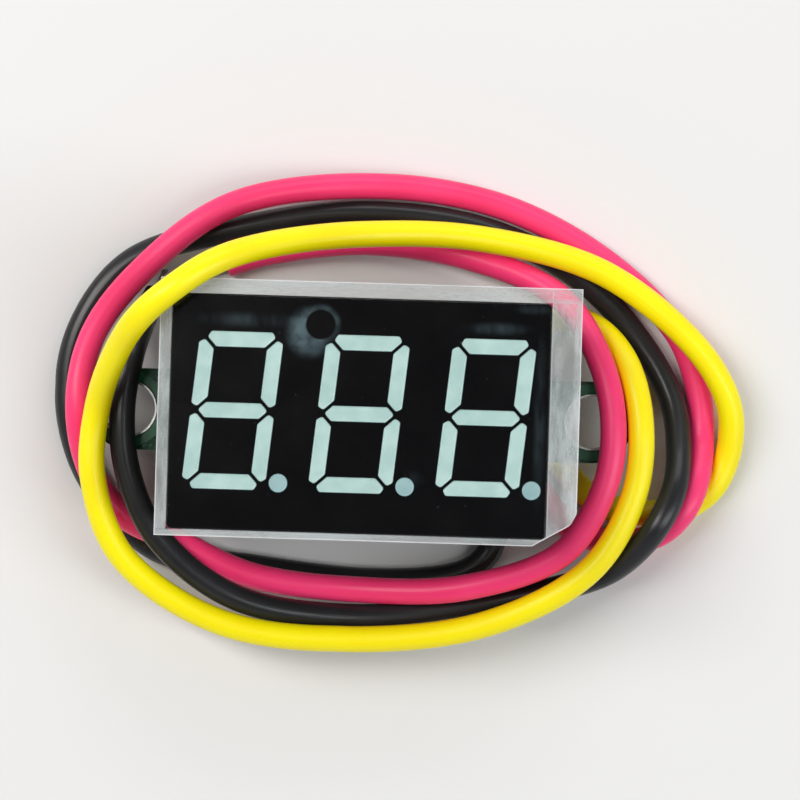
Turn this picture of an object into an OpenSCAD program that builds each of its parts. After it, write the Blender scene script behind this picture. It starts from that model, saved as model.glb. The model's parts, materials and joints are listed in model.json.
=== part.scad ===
// Three-digit LED panel voltmeter module with three lead wires.
// Millimetres. +X runs along the digits, +Y to their tops, +Z out of the face.
// The origin is under the middle of the module, on the surface it lies on.

/* [Display] */
// Length of the display block along the digits
display_l = 22.5; // [22.4:0.1:24]
// Width of the display block
display_w = 14; // [13.8:0.1:15]
// Height of the display block
display_h = 7.2; // [6:0.1:9]
// Wall round the potted base
display_wall = 0.8; // [0.6:0.1:1.2]
// Radius of the block's upright corners
corner_r = 0.35; // [0.2:0.05:0.5]
// Thickness of the potted base
base_t = 1.6; // [1:0.1:2.4]
// Distance between the side segments of a digit
digit_w = 4.06; // [3.9:0.02:4.2]
// Distance from the top segment to the bottom one
digit_h = 8.44; // [8:0.02:9]
// Lean of the digits in degrees
digit_slant = 5.5; // [0:0.5:8]
// Width of a segment
segment_w = 0.93; // [0.8:0.01:1]
// Gap between two segments
segment_gap = 0.18; // [0.14:0.01:0.24]
// Diameter of a decimal point
point_d = 1.12; // [0.9:0.02:1.2]
// Offset of a decimal point from the middle of its digit
point_offset = 2.82; // [2.78:0.01:2.88]

/* [Protective film] */
// Thickness of the film
film_t = 0.1; // [0.06:0.01:0.2]
// Overhang of the film at the left end
film_left = 0.7; // [0.2:0.1:1.2]
// Overhang of the film at the right end
film_right = 1.8; // [0.8:0.1:2.2]
// Overhang of the film at the top
film_top = 0.9; // [0.3:0.1:1]
// Overhang of the film at the bottom
film_bottom = 0.4; // [0.2:0.1:0.6]
// Size of the cut corner, along the bottom edge
film_cut = 2.6; // [1.5:0.1:3.5]

/* [Main board] */
// Thickness of the main board
board_t = 1.2; // [0.8:0.1:1.6]
// Clear height under the board, as long as the pins stand out
board_z = 2.2; // [2.2:0.05:2.6]
// Distance between the two screw holes
hole_spacing = 28.4; // [28.2:0.1:29]
// Diameter of a screw hole
hole_d = 3.2; // [2.6:0.1:3.4]
// Width of a screw ear
ear_w = 5; // [4.8:0.1:5.4]
// Outer diameter of the copper ring round a screw hole
ring_d = 4.7; // [4.2:0.1:4.75]
// Thickness of a copper layer
copper_t = 0.05; // [0.03:0.01:0.08]

/* [Display pins] */
// Distance from pin to pin in a row
pin_pitch = 2.54; // [2.5:0.01:2.6]
// Distance between the two rows of pins
pin_row_gap = 10.16; // [10:0.02:10.4]
// Diameter of a pin
pin_d = 0.5; // [0.4:0.02:0.6]
// Diameter of a pin's solder joint on the board
joint_d = 1.6; // [1.2:0.1:1.7]
// Height of a pin's solder joint
joint_h = 1; // [0.6:0.1:1.3]

/* [Microcontroller] */
// Length of the microcontroller's body
mcu_l = 6.5; // [6.4:0.05:6.6]
// Width of the microcontroller's body
mcu_w = 4.4; // [4.2:0.05:4.6]
// Thickness of the microcontroller's body
mcu_t = 1; // [0.8:0.05:1.2]
// Distance across the leads
mcu_span = 6.4; // [6.2:0.1:6.8]
// Distance from lead to lead
mcu_lead_pitch = 0.65; // [0.64:0.01:0.66]
// Width of a lead
mcu_lead_w = 0.22; // [0.18:0.01:0.3]

/* [Voltage regulator] */
// Length of the regulator's body
reg_l = 4.5; // [4.3:0.1:4.6]
// Width of the regulator's body
reg_w = 2.5; // [2.3:0.1:2.6]
// Thickness of the regulator's body
reg_t = 1.5; // [1.3:0.05:1.6]
// Distance across the leads and the tab
reg_span = 4.1; // [3.8:0.1:4.2]

/* [Small parts] */
// Length of the diode's body
diode_l = 2.7; // [2.5:0.1:2.8]
// Width of the diode's body
diode_w = 1.6; // [1.4:0.1:1.7]
// Thickness of the diode's body
diode_t = 1.1; // [0.9:0.05:1.2]
// Length of a chip resistor or capacitor
chip_l = 1.6; // [1.4:0.05:1.7]
// Width of a chip resistor or capacitor
chip_w = 0.8; // [0.6:0.05:0.85]
// Distance from resistor to resistor in the column
resistor_pitch = 1.4; // [1.3:0.05:1.45]
// Thickness of a chip resistor
resistor_t = 0.45; // [0.35:0.05:0.5]
// Thickness of a chip capacitor
capacitor_t = 0.8; // [0.7:0.05:0.9]
// Length of a chip's end cap
cap_l = 0.3; // [0.2:0.05:0.4]

/* [Trimmer] */
// Side of the trimmer's base
trim_a = 3; // [2.8:0.1:3.2]
// Height of the trimmer's base
trim_t = 1; // [0.9:0.05:1.1]
// Diameter of the trimmer's rotor
rotor_d = 2.1; // [1.8:0.05:2.3]
// Height of the rotor's head
rotor_h = 0.6; // [0.5:0.05:0.7]
// Diameter of the rotor's spindle
spindle_d = 0.9; // [0.7:0.05:1]
// Width of a terminal
trim_lead_w = 0.6; // [0.5:0.05:0.7]
// Length of a terminal outside the base
trim_lead_l = 0.5; // [0.4:0.05:0.6]
// Thickness of a terminal
trim_lead_t = 0.25; // [0.2:0.01:0.3]
// Running gap round the rotor
run_gap = 0.06; // [0.05:0.01:0.1]

/* [Wires] */
// Diameter over the insulation
wire_d = 1.6; // [1.5:0.05:1.6]
// Diameter of the tinned strands
strand_d = 0.8; // [0.6:0.05:0.9]
// Bare length at a free end
bare_l = 1.6; // [1:0.1:1.8]
// Length of a wire's pad
pad_l = 1.6; // [1.4:0.05:1.7]
// Width of a wire's pad
pad_w = 1.6; // [1.4:0.05:1.7]
// Height of the solder on a wire's pad
heap_h = 1.7; // [1.5:0.05:1.8]

/* [Hidden] */

$fn = 48;
eps = 0.01;
fit = 0.02;                          // gap between two pieces that are a push fit
board_top = board_z + board_t;
face_z = board_top + display_h;
base_top = board_top + base_t;
hole_x = hole_spacing / 2;
recess_l = display_l - 2 * display_wall;
recess_w = display_w - 2 * display_wall;

// Digits: middle of each, and the lean as a shift in x for each unit of y
digit_pitch = display_l / 3;
digit_x = [-digit_pitch, 0, digit_pitch];
digit_y = 0.1;
lean = tan(digit_slant);

// Pins: five along the bottom and six along the top
pin_xs = [for (i = [-2.5:1:2.5]) i * pin_pitch];
pin_places = concat(
    [for (x = pin_xs) [x, pin_row_gap / 2]],
    [for (i = [0:4]) [pin_xs[i], -pin_row_gap / 2]]);
pin_top = base_top - 0.4;
pin_hole_d = pin_d + 0.28;
strand_z = 1;                        // height of a wire's strands at the board
pad_back = 1.25;                     // from a wire's end to the middle of its pad

// Middles of the parts under the board
mcu_at = [-1, 0];
reg_at = [4.85, 1.6];
diode_at = [5.2, -2.7];
trim_at = [-8.2, 0.2];
stand_off = 0.1;                     // gap under a moulded body
resistor_column_x = -5.45;
resistor_places = concat(
    [for (i = [-2.5:1:2.5]) [resistor_column_x, i * resistor_pitch]],
    [[-9.4, -3.3], [-9.4, -4.6]]);
capacitor_places = [[-9.4, 3.3], [-9.4, 4.6], [-9.4, -5.9], [2.6, -3.9]];

// Routes of the wires, from the board to the free end
yellow_route = [
    [9.6, 0.2, 1], [11.2, -1, 1], [12.6, -2.9, 0.9], [14.2, -4.5, 0.85],
    [16.2, -5.4, 0.85], [18.4, -5.5, 0.85], [20.4, -5, 0.85], [21.9, -3.8, 0.9],
    [22.7, -2, 1.1], [22.9, -0.1, 1.6], [22.4, 2, 2.2], [20.2, 5.1, 2.7], [14.6, 9.2, 2.8],
    [7.2, 11, 3.6], [0, 11, 5.6], [-5.8, 10, 9.2], [-8.9, 8.8, 11.4], [-11.3, 7.1, 12],
    [-13.1, 5.5, 11.2], [-14.6, 3.4, 8.8], [-15.9, 0, 5.9], [-16.1, -4.2, 5.4],
    [-14.2, -9, 4.8], [-8.3, -12.8, 4.2], [-0.4, -13.7, 3.6], [8.1, -12.5, 3.7],
    [14.3, -9, 4.2], [16.8, -4.4, 4.5], [17.1, 0, 4.6], [16.3, 3.4, 3.7], [14.9, 5.4, 2.2],
    [13.3, 6.3, 1.2], [11.6, 6.3, 0.9], [10.2, 5.6, 0.85], [9, 4.6, 0.85]];
red_route = [
    [9.6, -2.4, 1], [11, -4, 1], [12.3, -5.7, 0.9], [13.9, -6.9, 0.85], [15.8, -7.4, 0.95],
    [17.4, -7.2, 1.6], [18.9, -6.5, 2.4], [20.1, -5.1, 2.7], [20.8, -3.3, 2.3],
    [21.1, -1, 1.1], [20.9, 1.8, 0.85], [19.6, 5.4, 0.85], [15.2, 9.7, 1],
    [8.6, 13.1, 0.9], [0.6, 14.2, 1.2], [-8.3, 12.7, 2.4], [-13.6, 8.6, 2.7],
    [-16.5, 4.4, 3.7], [-17.2, 0, 4.4], [-16.3, -4.1, 3.4], [-14.3, -6.6, 2.8],
    [-11.2, -8, 2.6], [-6.5, -10, 2.5], [0, -10.7, 2.5], [6.8, -10.3, 3.8],
    [12.6, -8, 4.2], [15, -3.9, 4.8], [15.4, 0, 4.9], [14.5, 3.8, 4.4], [12, 7.6, 3],
    [6.5, 9.9, 1.9], [0, 10.7, 1.2], [-6, 9.9, 0.85], [-8.6, 9.1, 0.85]];
black_route = [
    [8.6, -5.4, 1], [8.6, -6.8, 1], [8.1, -8.3, 0.85], [6.9, -9.4, 0.85], [4.6, -10, 0.85],
    [0, -10.2, 0.85], [-6.3, -9.6, 0.85], [-12.5, -8.6, 0.85], [-16.8, -4.2, 0.85],
    [-18.2, 0.6, 0.85], [-17.5, 5, 0.85], [-14.5, 9.1, 0.85], [-7.6, 11.4, 0.85],
    [0, 12.5, 0.85], [7.7, 11.6, 0.85], [13.6, 8.7, 0.85], [17.4, 4.7, 0.9],
    [19.2, 1.4, 1.5], [19.6, -1.6, 2.6], [19.3, -4, 3.8], [18.3, -6.2, 4.2],
    [17, -7.9, 3.4], [15.4, -9.2, 2.5], [12.7, -10.2, 2.3], [7.3, -11.5, 2.1],
    [0, -12.4, 2.4], [-7.4, -11.3, 3.8], [-12.2, -7.7, 4.3], [-14.1, -3.7, 4.45],
    [-14.5, 0, 4.55], [-14.1, 3.1, 4.2], [-13.8, 4.5, 3.1], [-13.4, 5.9, 1.9],
    [-12.8, 7.2, 1.2]];

routes = [yellow_route, red_route, black_route];

// ---------- display ----------

// The seven segments of one digit, about its middle. They are mitred to each other at 45
// degrees, with the gap between, and their tips stand a little outside their middle lines.
// grow widens each one all round, for its window.
module digit_shape(grow) {
    w = digit_w / 2;
    h = digit_h / 2;
    side = segment_w / 2 + grow;
    gap = segment_gap - 2 * grow;
    mitre = gap / sqrt(2);
    tip = 0.12;
    blunt = 0.2;
    middle_tip = w + 0.05 + grow * sqrt(2);
    low_tip = middle_tip - w + gap * sqrt(2) - tip;
    multmatrix([[1, lean, 0, 0], [0, 1, 0, 0], [0, 0, 1, 0], [0, 0, 0, 1]]) {
        for (s = [-1, 1]) scale([1, s]) polygon([
            [-w + side + mitre, h - side], [w - side - mitre, h - side],
            [w + tip - mitre, h + tip], [w + tip - mitre - blunt, h + side],
            [-w - tip + mitre + blunt, h + side], [-w - tip + mitre, h + tip]]);
        for (s = [-1, 1], t = [-1, 1]) scale([s, t]) polygon([
            [w - side, h - side - mitre], [w - side, low_tip + tip + side],
            [w + tip, low_tip], [w + side, low_tip + blunt],
            [w + side, h + tip - mitre - blunt], [w + tip, h + tip - mitre]]);
        polygon([
            [-middle_tip, 0], [side - middle_tip, side], [middle_tip - side, side],
            [middle_tip, 0], [middle_tip - side, -side], [side - middle_tip, -side]]);
    }
}

module digit_segments(i) {
    color("honeydew")
        translate([digit_x[i], digit_y, base_top])
            linear_extrude(display_h - base_t) digit_shape(0);
}

module point_places() {
    for (x = digit_x)
        translate([x + point_offset, digit_y - digit_h / 2, base_top]) children();
}

module decimal_points() {
    color("honeydew") point_places() cylinder(d = point_d, h = display_h - base_t);
}

// Black block with a window for each segment, open at the back for the potted base
module display_housing() {
    color([0.06, 0.06, 0.07]) difference() {
        translate([0, 0, board_top]) linear_extrude(display_h) {
            square([display_l - 2 * corner_r, display_w], center = true);
            square([display_l, display_w - 2 * corner_r], center = true);
            for (x = [-1, 1], y = [-1, 1])
                translate([x * (display_l / 2 - corner_r), y * (display_w / 2 - corner_r)])
                    circle(r = corner_r);
        }
        translate([-recess_l / 2, -recess_w / 2, board_top - 1])
            cube([recess_l, recess_w, base_t + 1]);
        for (x = digit_x)
            translate([x, digit_y, board_top + base_t / 2])
                linear_extrude(display_h) digit_shape(fit);
        point_places() translate([0, 0, -base_t / 2])
            cylinder(d = point_d + 2 * fit, h = display_h);
    }
}

module display_base() {
    color("ivory") difference() {
        translate([fit - recess_l / 2, fit - recess_w / 2, board_top])
            cube([recess_l - 2 * fit, recess_w - 2 * fit, base_t - fit]);
        for (p = pin_places)
            translate([p[0], p[1], board_top - 1])
                cylinder(d = pin_d + 2 * fit, h = pin_top - board_top + 1 + fit);
    }
}

module display_pins() {
    color("silver") for (p = pin_places)
        translate([p[0], p[1], 0]) {
            translate([0, 0, pin_d / 4])
                cylinder(d = pin_d, h = pin_top - pin_d / 4);
            cylinder(d1 = pin_d / 2, d2 = pin_d, h = pin_d / 4, $fn = 24);
        }
}

// Clear film, oversize all round, with one corner cut off
module protective_film() {
    left = -display_l / 2 - film_left;
    right = display_l / 2 + film_right;
    top = display_w / 2 + film_top;
    bottom = -display_w / 2 - film_bottom;
    nick = 0.35;
    color([0.8, 0.82, 0.85, 0.4])
        translate([0, 0, face_z]) linear_extrude(film_t)
            polygon([
                [left, bottom], [right - film_cut, bottom],
                [right - nick, bottom + film_cut / 2], [right, bottom + film_cut * 0.75],
                [right, top - nick], [right - nick, top], [left, top]]);
}

// ---------- main board ----------

module board_shape() {
    square([display_l, display_w], center = true);
    for (s = [-1, 1]) {
        translate([s * hole_x, 0]) circle(d = ear_w);
        translate([s * hole_x / 2, 0]) square([hole_x, ear_w], center = true);
    }
}

module main_board() {
    color([0.08, 0.24, 0.16]) difference() {
        translate([0, 0, board_z]) linear_extrude(board_t) board_shape();
        for (s = [-1, 1])
            translate([s * hole_x, 0, board_z - 1]) cylinder(d = hole_d, h = board_t + 2);
        for (p = pin_places)
            translate([p[0], p[1], board_z - 1]) cylinder(d = pin_hole_d, h = board_t + 2);
    }
}

// A copper ring on each side of each ear
module ear_rings() {
    bore = hole_d + 0.4;
    color([0.1, 0.3, 0.18])
        for (s = [-1, 1], z = [board_z - copper_t, board_top])
            translate([s * hole_x, 0, z]) difference() {
                cylinder(d = ring_d, h = copper_t);
                translate([0, 0, -1]) cylinder(d = bore, h = copper_t + 2);
            }
}

// Solder that fills a pin's hole and stands as a fillet under the board
module pin_solder_joints() {
    inner = pin_d / 2 + fit / 2;
    outer = pin_hole_d / 2 - fit / 2;
    foot = joint_d / 2;
    color("gainsboro") for (p = pin_places)
        translate([p[0], p[1], board_z]) rotate_extrude()
            polygon([
                [inner, board_t - fit], [outer, board_t - fit], [outer, 0], [foot, 0],
                [foot * 0.62, -joint_h * 0.35], [foot * 0.43, -joint_h * 0.8],
                [inner + 0.02, -joint_h], [inner, -joint_h]]);
}

// ---------- parts under the board ----------

// A moulded body with drafted sides, hanging under the board, its long side along x
module moulded_body(l, w, t, gap) {
    draft = 0.12;
    belt = t * 0.45;
    translate([0, 0, board_z - gap - t]) intersection() {
        rotate([90, 0, 90]) linear_extrude(l + 1, center = true)
            polygon([
                [draft - w / 2, 0], [w / 2 - draft, 0], [w / 2, belt],
                [w / 2 - draft, t], [draft - w / 2, t], [-w / 2, belt]]);
        rotate([90, 0, 0]) linear_extrude(w + 1, center = true)
            polygon([
                [draft - l / 2, 0], [l / 2 - draft, 0], [l / 2, belt],
                [l / 2 - draft, t], [draft - l / 2, t], [-l / 2, belt]]);
    }
}

// A bent lead from the side of a body, at x = reach, out to x = tip, on the board
module gull_lead(reach, tip, w, z, t) {
    foot = (tip - reach) * 0.55;
    rotate([90, 0, 0]) linear_extrude(w, center = true)
        polygon([
            [reach, z], [reach, z + t], [tip - foot - t, z + t], [tip - foot, board_z],
            [tip, board_z], [tip, board_z - t], [tip - foot + t / 2, board_z - t],
            [tip - foot - t / 2, z]]);
}

module microcontroller_body() {
    color([0.1, 0.1, 0.11]) translate([mcu_at[0], mcu_at[1], 0]) difference() {
        moulded_body(mcu_l, mcu_w, mcu_t, stand_off);
        translate([0.8 - mcu_l / 2, mcu_w / 2 - 0.8, board_z - stand_off - mcu_t - 1])
            cylinder(d = 0.6, h = 1.05);
    }
}

module microcontroller_leads() {
    lead_z = board_z - stand_off - mcu_t * 0.55 - 0.06;
    color("silver") translate([mcu_at[0], mcu_at[1], 0])
        for (s = [-1, 1], i = [-4.5:1:4.5])
            translate([i * mcu_lead_pitch, 0, 0]) rotate(s * 90)
                gull_lead(mcu_w / 2, mcu_span / 2, mcu_lead_w, lead_z, 0.12);
}

module regulator_body() {
    color([0.11, 0.11, 0.12]) translate([reg_at[0], reg_at[1], 0]) rotate(90)
        moulded_body(reg_l, reg_w, reg_t, fit);
}

// Three leads on one side and the wide tab on the other, flat on the board
module regulator_leads() {
    t = 0.4;
    out = (reg_span - reg_w) / 2;
    pitch = 1.5;
    color("silver") translate([reg_at[0], reg_at[1], board_z - t]) {
        for (i = [-1, 0, 1])
            translate([-reg_w / 2 - out, i * pitch - 0.22, 0]) cube([out, 0.44, t]);
        translate([reg_w / 2, -0.85, 0]) cube([out, 1.7, t]);
    }
}

module diode_body() {
    color([0.12, 0.12, 0.12]) translate([diode_at[0], diode_at[1], 0]) difference() {
        moulded_body(diode_l, diode_w, diode_t, stand_off);
        translate([0.62 - diode_l / 2, -diode_w, board_z - stand_off - diode_t - 1])
            cube([0.22, 2 * diode_w, 1.03]);
    }
}

module diode_terminals() {
    lead_z = board_z - stand_off - diode_t * 0.55 - 0.08;
    color("silver") translate([diode_at[0], diode_at[1], 0]) for (s = [0, 180])
        rotate(s) gull_lead(diode_l / 2, diode_l / 2 + 0.55, 0.6, lead_z, 0.14);
}

// The middle of a chip, between its end caps
module chip_core(t) {
    translate([cap_l - chip_l / 2, -chip_w / 2 + 0.03, board_z - t + 0.03])
        cube([chip_l - 2 * cap_l, chip_w - 0.06, t - 0.06]);
}

module chip_caps(t) {
    for (x = [-chip_l / 2, chip_l / 2 - cap_l])
        translate([x, -chip_w / 2, board_z - t]) cube([cap_l, chip_w, t]);
}

module chip_resistors() {
    color([0.1, 0.1, 0.11]) for (p = resistor_places)
        translate([p[0], p[1], 0]) chip_core(resistor_t);
}

module resistor_end_caps() {
    color("lightgray") for (p = resistor_places)
        translate([p[0], p[1], 0]) chip_caps(resistor_t);
}

module chip_capacitors() {
    color("tan") for (p = capacitor_places)
        translate([p[0], p[1], 0]) chip_core(capacitor_t);
}

module capacitor_end_caps() {
    color("lightgray") for (p = capacitor_places)
        translate([p[0], p[1], 0]) chip_caps(capacitor_t);
}

// ---------- trimmer ----------

trim_low = board_z - trim_t;         // underside of the base
rotor_low = trim_low - rotor_h + trim_t * 0.3;
spindle_h = trim_t * 0.4;

// Square base with a round seat and a bore for the rotor's spindle
module trimmer_base() {
    color([0.85, 0.82, 0.72]) translate([trim_at[0], trim_at[1], 0]) difference() {
        translate([-trim_a / 2, -trim_a / 2, trim_low]) cube([trim_a, trim_a, trim_t]);
        translate([0, 0, trim_low - 1])
            cylinder(d = rotor_d + 2 * run_gap, h = 1 + trim_t * 0.3 + run_gap);
        translate([0, 0, trim_low])
            cylinder(d = spindle_d + 2 * run_gap, h = trim_t * 0.3 + spindle_h + 2 * run_gap);
    }
}

// Two narrow terminals at one side of the base and one twice as wide at the other
module trimmer_terminals() {
    w = trim_lead_w;
    out = trim_lead_l;
    color("silver")
        translate([trim_at[0], trim_at[1], board_z - trim_lead_t]) linear_extrude(trim_lead_t) {
            for (x = [w / 2 - trim_a / 2 + 0.25, trim_a / 2 - w / 2 - 0.25])
                translate([x - w / 2, -trim_a / 2 - out]) square([w, out]);
            translate([-w, trim_a / 2]) square([2 * w, out]);
        }
}

// Metal rotor with a cross slot, on a spindle that turns in the base
module trimmer_rotor() {
    slot_w = 0.4;
    slot_deep = 0.28;
    color([0.86, 0.74, 0.45]) translate([trim_at[0], trim_at[1], 0]) difference() {
        union() {
            translate([0, 0, rotor_low]) cylinder(d = rotor_d, h = rotor_h);
            translate([0, 0, rotor_low + rotor_h - eps])
                cylinder(d = spindle_d, h = spindle_h + eps);
        }
        for (a = [0, 90]) rotate(a)
            translate([-rotor_d * 0.38, -slot_w / 2, rotor_low - 1])
                cube([rotor_d * 0.76, slot_w, 1 + slot_deep]);
    }
}

// ---------- wires ----------

// A wire's heading at the board, and the middle of its pad, in line behind its end
function heading(p) = atan2(p[1][1] - p[0][1], p[1][0] - p[0][0]);
function pad_at(p) =
    [p[0][0] - pad_back * cos(heading(p)), p[0][1] - pad_back * sin(heading(p))];

module wire_pads() {
    color([0.8, 0.8, 0.78]) translate([0, 0, board_z - copper_t]) linear_extrude(copper_t)
        for (p = routes)
            translate(pad_at(p)) rotate(heading(p)) square([pad_l, pad_w], center = true);
}

// Solder heaped on each pad round the wire's strands
module wire_solder_joints() {
    r = pad_w / 2 - 0.1;
    color("gainsboro") for (p = routes)
        translate([pad_at(p)[0], pad_at(p)[1], 0]) difference() {
            translate([0, 0, board_z - copper_t]) rotate_extrude()
                polygon([
                    [0, 0], [r, 0], [r * 0.96, -heap_h * 0.3], [r * 0.8, -heap_h * 0.65],
                    [r * 0.5, -heap_h * 0.9], [0, -heap_h]]);
            translate([0, 0, strand_z]) rotate([0, 90, heading(p)])
                cylinder(d = strand_d + fit, h = 3, center = true);
        }
}

function unit(v) = v / norm(v);
function along(p, i) = unit(p[min(i + 1, len(p) - 1)] - p[max(i - 1, 0)]);
function ring(p, i, r, sides) =
    let (t = along(p, i), u = unit(cross([0, 0, 1], t)), v = cross(t, u))
    [for (k = [0:sides - 1]) p[i] + r * (cos(360 * k / sides) * u + sin(360 * k / sides) * v)];

// Round tube along a route
module tube(p, d, sides = 8) {
    n = len(p);
    points = [for (i = [0:n - 1], q = ring(p, i, d / 2, sides)) q];
    walls = [for (i = [0:n - 2], k = [0:sides - 1])
        let (a = i * sides, m = (k + 1) % sides) [a + m, a + k, a + k + sides, a + m + sides]];
    near = [for (k = [0:sides - 1]) k];
    far = [for (k = [sides - 1:-1:0]) (n - 1) * sides + k];
    polyhedron(points = points, faces = concat([near], walls, [far]), convexity = 10);
}

// Tinned strands: soldered at the board end, bare at the free end
module wire_ends(p) {
    n = len(p);
    end = unit(p[n - 1] - p[n - 2]);
    color("silver") {
        translate(p[0]) rotate([0, -90, heading(p)])
            cylinder(d = strand_d, h = pad_back + 0.4);
        translate(p[n - 1]) rotate([0, acos(end[2]), atan2(end[1], end[0])])
            cylinder(d = strand_d, h = bare_l);
    }
}

module red_wire() { color([0.9, 0.16, 0.36]) tube(red_route, wire_d); }
module black_wire() { color([0.1, 0.1, 0.11]) tube(black_route, wire_d); }
module yellow_wire() { color([0.98, 0.87, 0]) tube(yellow_route, wire_d); }

display_housing();
digit_segments(0);  // digit_1_segments
digit_segments(1);  // digit_2_segments
digit_segments(2);  // digit_3_segments
decimal_points();
display_base();
display_pins();
protective_film();
main_board();
ear_rings();
pin_solder_joints();
microcontroller_body();
microcontroller_leads();
regulator_body();
regulator_leads();
diode_body();
diode_terminals();
chip_resistors();
resistor_end_caps();
chip_capacitors();
capacitor_end_caps();
trimmer_base();
trimmer_terminals();
trimmer_rotor();
wire_pads();
wire_solder_joints();
red_wire();
black_wire();
yellow_wire();
wire_ends(red_route);  // red_wire_ends
wire_ends(black_route);  // black_wire_ends
wire_ends(yellow_route);  // yellow_wire_ends
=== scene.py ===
import json
import math
import random

import bmesh
import bpy
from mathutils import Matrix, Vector, noise
from mathutils.geometry import tessellate_polygon


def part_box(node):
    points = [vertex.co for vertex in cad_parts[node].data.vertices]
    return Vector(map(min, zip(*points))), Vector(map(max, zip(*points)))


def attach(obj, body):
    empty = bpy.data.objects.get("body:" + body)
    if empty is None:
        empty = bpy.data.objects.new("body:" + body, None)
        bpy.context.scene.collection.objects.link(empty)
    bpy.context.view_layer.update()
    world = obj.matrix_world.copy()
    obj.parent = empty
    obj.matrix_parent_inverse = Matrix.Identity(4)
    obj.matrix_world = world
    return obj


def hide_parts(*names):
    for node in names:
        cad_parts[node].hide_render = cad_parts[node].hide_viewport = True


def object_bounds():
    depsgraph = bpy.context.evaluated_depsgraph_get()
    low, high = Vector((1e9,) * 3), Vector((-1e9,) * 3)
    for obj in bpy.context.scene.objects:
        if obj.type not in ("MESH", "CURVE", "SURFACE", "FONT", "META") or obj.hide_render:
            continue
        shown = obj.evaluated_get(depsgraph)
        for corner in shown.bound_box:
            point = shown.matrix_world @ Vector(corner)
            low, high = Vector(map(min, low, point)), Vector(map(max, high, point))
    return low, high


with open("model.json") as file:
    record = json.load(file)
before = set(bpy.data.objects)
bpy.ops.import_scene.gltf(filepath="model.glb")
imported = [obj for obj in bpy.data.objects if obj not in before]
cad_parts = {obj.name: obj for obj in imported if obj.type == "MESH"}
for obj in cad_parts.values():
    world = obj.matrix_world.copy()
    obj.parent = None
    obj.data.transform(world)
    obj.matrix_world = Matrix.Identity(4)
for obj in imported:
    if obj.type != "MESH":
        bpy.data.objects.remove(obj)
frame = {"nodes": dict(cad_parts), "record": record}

cad_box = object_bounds()
MM = 0.001
body_name = "module"


# ---------- sizes taken from the frame ----------

def span(node):
    """The lowest and highest corner of a CAD node, in millimetres."""
    low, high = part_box(node)
    return low / MM, high / MM


house_low, house_high = span("display_housing")
board_low, board_high = span("main_board")
film_low, film_high = span("protective_film")
ring_low, ring_high = span("ear_rings")
HALF_L = house_high.x
HALF_W = house_high.y
FACE_Z = house_high.z
BOARD_Z = board_low.z
BOARD_TOP = board_high.z
HOLE_SPACING = frame["record"]["mounts"][0]["dims"]["spacing_x_mm"]
HOLE_R = frame["record"]["mounts"][0]["dims"]["hole_r_mm"]
EAR_X = HOLE_SPACING / 2
EAR_R = board_high.x - EAR_X
WIRE_R = 0.8
STRAND_R = 0.4

# The film's lower right corner is cut along two slopes, the upper one steeper.
# They meet FILM_STEP_Y up and FILM_NICK in. Its bubble lies near the upper edge.
FILM_CUT_X = 2.6
FILM_CUT_Y = 1.95
FILM_STEP_Y = 1.3
FILM_NICK = 0.35
BUBBLE = Vector((-2.43, 5.34))
BUBBLE_R = 0.95

# Routes of the wires from the board to the free end, in millimetres
YELLOW_ROUTE = [
    (9.6, 0.2, 1), (11.2, -1, 1), (12.6, -2.9, 0.9), (14.2, -4.5, 0.85),
    (16.2, -5.4, 0.85), (18.4, -5.5, 0.85), (20.4, -5, 0.85), (21.9, -3.8, 0.9),
    (22.7, -2, 1.1), (22.9, -0.1, 1.6), (22.4, 2, 2.2), (20.2, 5.1, 2.7), (14.6, 9.2, 2.8),
    (7.2, 11, 3.6), (0, 11, 5.6), (-5.8, 10, 9.2), (-8.9, 8.8, 11.4), (-11.3, 7.1, 12),
    (-13.1, 5.5, 11.2), (-14.6, 3.4, 8.8), (-15.9, 0, 5.9), (-16.1, -4.2, 5.4),
    (-14.2, -9, 4.8), (-8.3, -12.8, 4.2), (-0.4, -13.7, 3.6), (8.1, -12.5, 3.7),
    (14.3, -9, 4.2), (16.8, -4.4, 4.5), (17.1, 0, 4.6), (16.3, 3.4, 3.7), (14.9, 5.4, 2.2),
    (13.3, 6.3, 1.2), (11.6, 6.3, 0.9), (10.2, 5.6, 0.85), (9, 4.6, 0.85)]
RED_ROUTE = [
    (9.6, -2.4, 1), (11, -4, 1), (12.3, -5.7, 0.9), (13.9, -6.9, 0.85), (15.8, -7.4, 0.95),
    (17.4, -7.2, 1.6), (18.9, -6.5, 2.4), (20.1, -5.1, 2.7), (20.8, -3.3, 2.3),
    (21.1, -1, 1.1), (20.9, 1.8, 0.85), (19.6, 5.4, 0.85), (15.2, 9.7, 1),
    (8.6, 13.1, 0.9), (0.6, 14.2, 1.2), (-8.3, 12.7, 2.4), (-13.6, 8.6, 2.7),
    (-16.5, 4.4, 3.7), (-17.2, 0, 4.4), (-16.3, -4.1, 3.4), (-14.3, -6.6, 2.8),
    (-11.2, -8, 2.6), (-6.5, -10, 2.5), (0, -10.7, 2.5), (6.8, -10.3, 3.8),
    (12.6, -8, 4.2), (15, -3.9, 4.8), (15.4, 0, 4.9), (14.5, 3.8, 4.4), (12, 7.6, 3),
    (6.5, 9.9, 1.9), (0, 10.7, 1.2), (-6, 9.9, 0.85), (-8.6, 9.1, 0.85)]
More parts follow.
